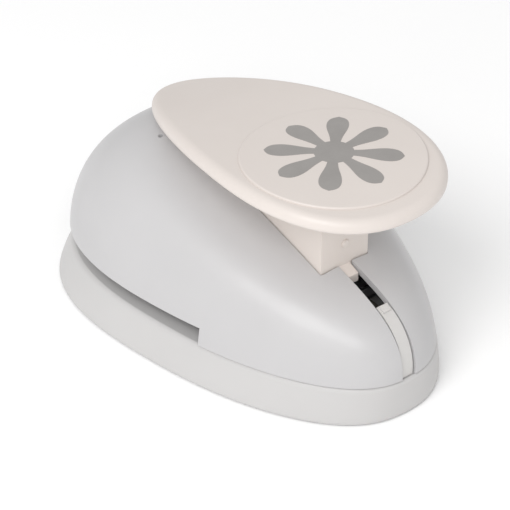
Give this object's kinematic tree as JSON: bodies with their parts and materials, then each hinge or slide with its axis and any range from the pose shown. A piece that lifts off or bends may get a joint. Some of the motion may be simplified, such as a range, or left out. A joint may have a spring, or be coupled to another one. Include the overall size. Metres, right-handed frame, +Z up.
{
  "type": "craft punch",
  "caption": "Lever-operated paper craft punch with an egg-shaped body, a flower punch and die, a rear paper slot and a sliding lock.",
  "frame": {"origin": "centre of the base on the surface it stands on", "axes": "+X towards the nose under the wide end of the lever, +Y to the left seen from the paper slot's end, +Z up"},
  "size_m": [0.1318, 0.087, 0.0685],
  "materials": {
    "base_plastic": "moulded, soft gloss",
    "housing_plastic": "moulded, pearly soft gloss",
    "cover_plastic": "moulded, matt",
    "lever_plastic": "moulded, smooth cream",
    "block_plastic": "moulded, smooth cream",
    "lock_plastic": "moulded, smooth",
    "dark_plastic": "moulded, dark",
    "label_print": "printed film, grey",
    "foot_rubber": "matt",
    "screw_steel": "zinc plated",
    "bright_steel": "ground",
    "spring_steel": "drawn wire",
    "die_steel": "ground tool steel",
    "nylon": "natural nylon"
  },
  "bodies": {
    "root": {"base_tray": "base_plastic", "bottom_cover": "cover_plastic", "foot_pads": "foot_rubber", "housing_screws": "screw_steel", "cover_screws": "screw_steel", "dome_housing": "housing_plastic", "pivot_pin": "bright_steel", "pin_clips": "spring_steel", "die_plate": "die_steel", "gap_spacers": "die_steel", "guide_plate": "die_steel", "die_screws": "screw_steel", "guide_posts": "bright_steel", "return_springs": "spring_steel", "lock_retainer": "cover_plastic"},
    "punch": {"male_die": "die_steel", "punch_head": "die_steel", "carrier_bushes": "nylon", "head_screws": "screw_steel"},
    "lever": {"lever_cap": "lever_plastic", "pad_disc": "lever_plastic", "flower_label": "label_print", "lever_core": "block_plastic", "pivot_bushes": "nylon", "press_button": "bright_steel", "lever_screws": "screw_steel"},
    "lock": {"lock_slider": "lock_plastic", "lock_hook": "dark_plastic"}
  },
  "joints": [
    {"name": "lever_hinge", "type": "hinge", "parent": "root", "child": "lever", "pos_m": [-0.02565, 0, 0.042], "axis": [0, 1, 0], "range_deg": [0, 9.4], "stiffness_Nm_per_rad": 2, "springref_deg": -6.88},
    {"name": "punch_slide", "type": "slide", "parent": "root", "child": "punch", "axis": [0, 0, -1], "range_m": [0, 0.0034], "deforming": ["return_springs"]},
    {"name": "lock_slide", "type": "hinge", "parent": "root", "child": "lock", "pos_m": [0.04805, 0, 0.0141], "axis": [0, -1, 0], "range_deg": [0, 32]}
  ],
  "couplings": [
    {"joint": "punch_slide", "follows": "lever_hinge", "m_per_rad": 0.02}
  ]
}
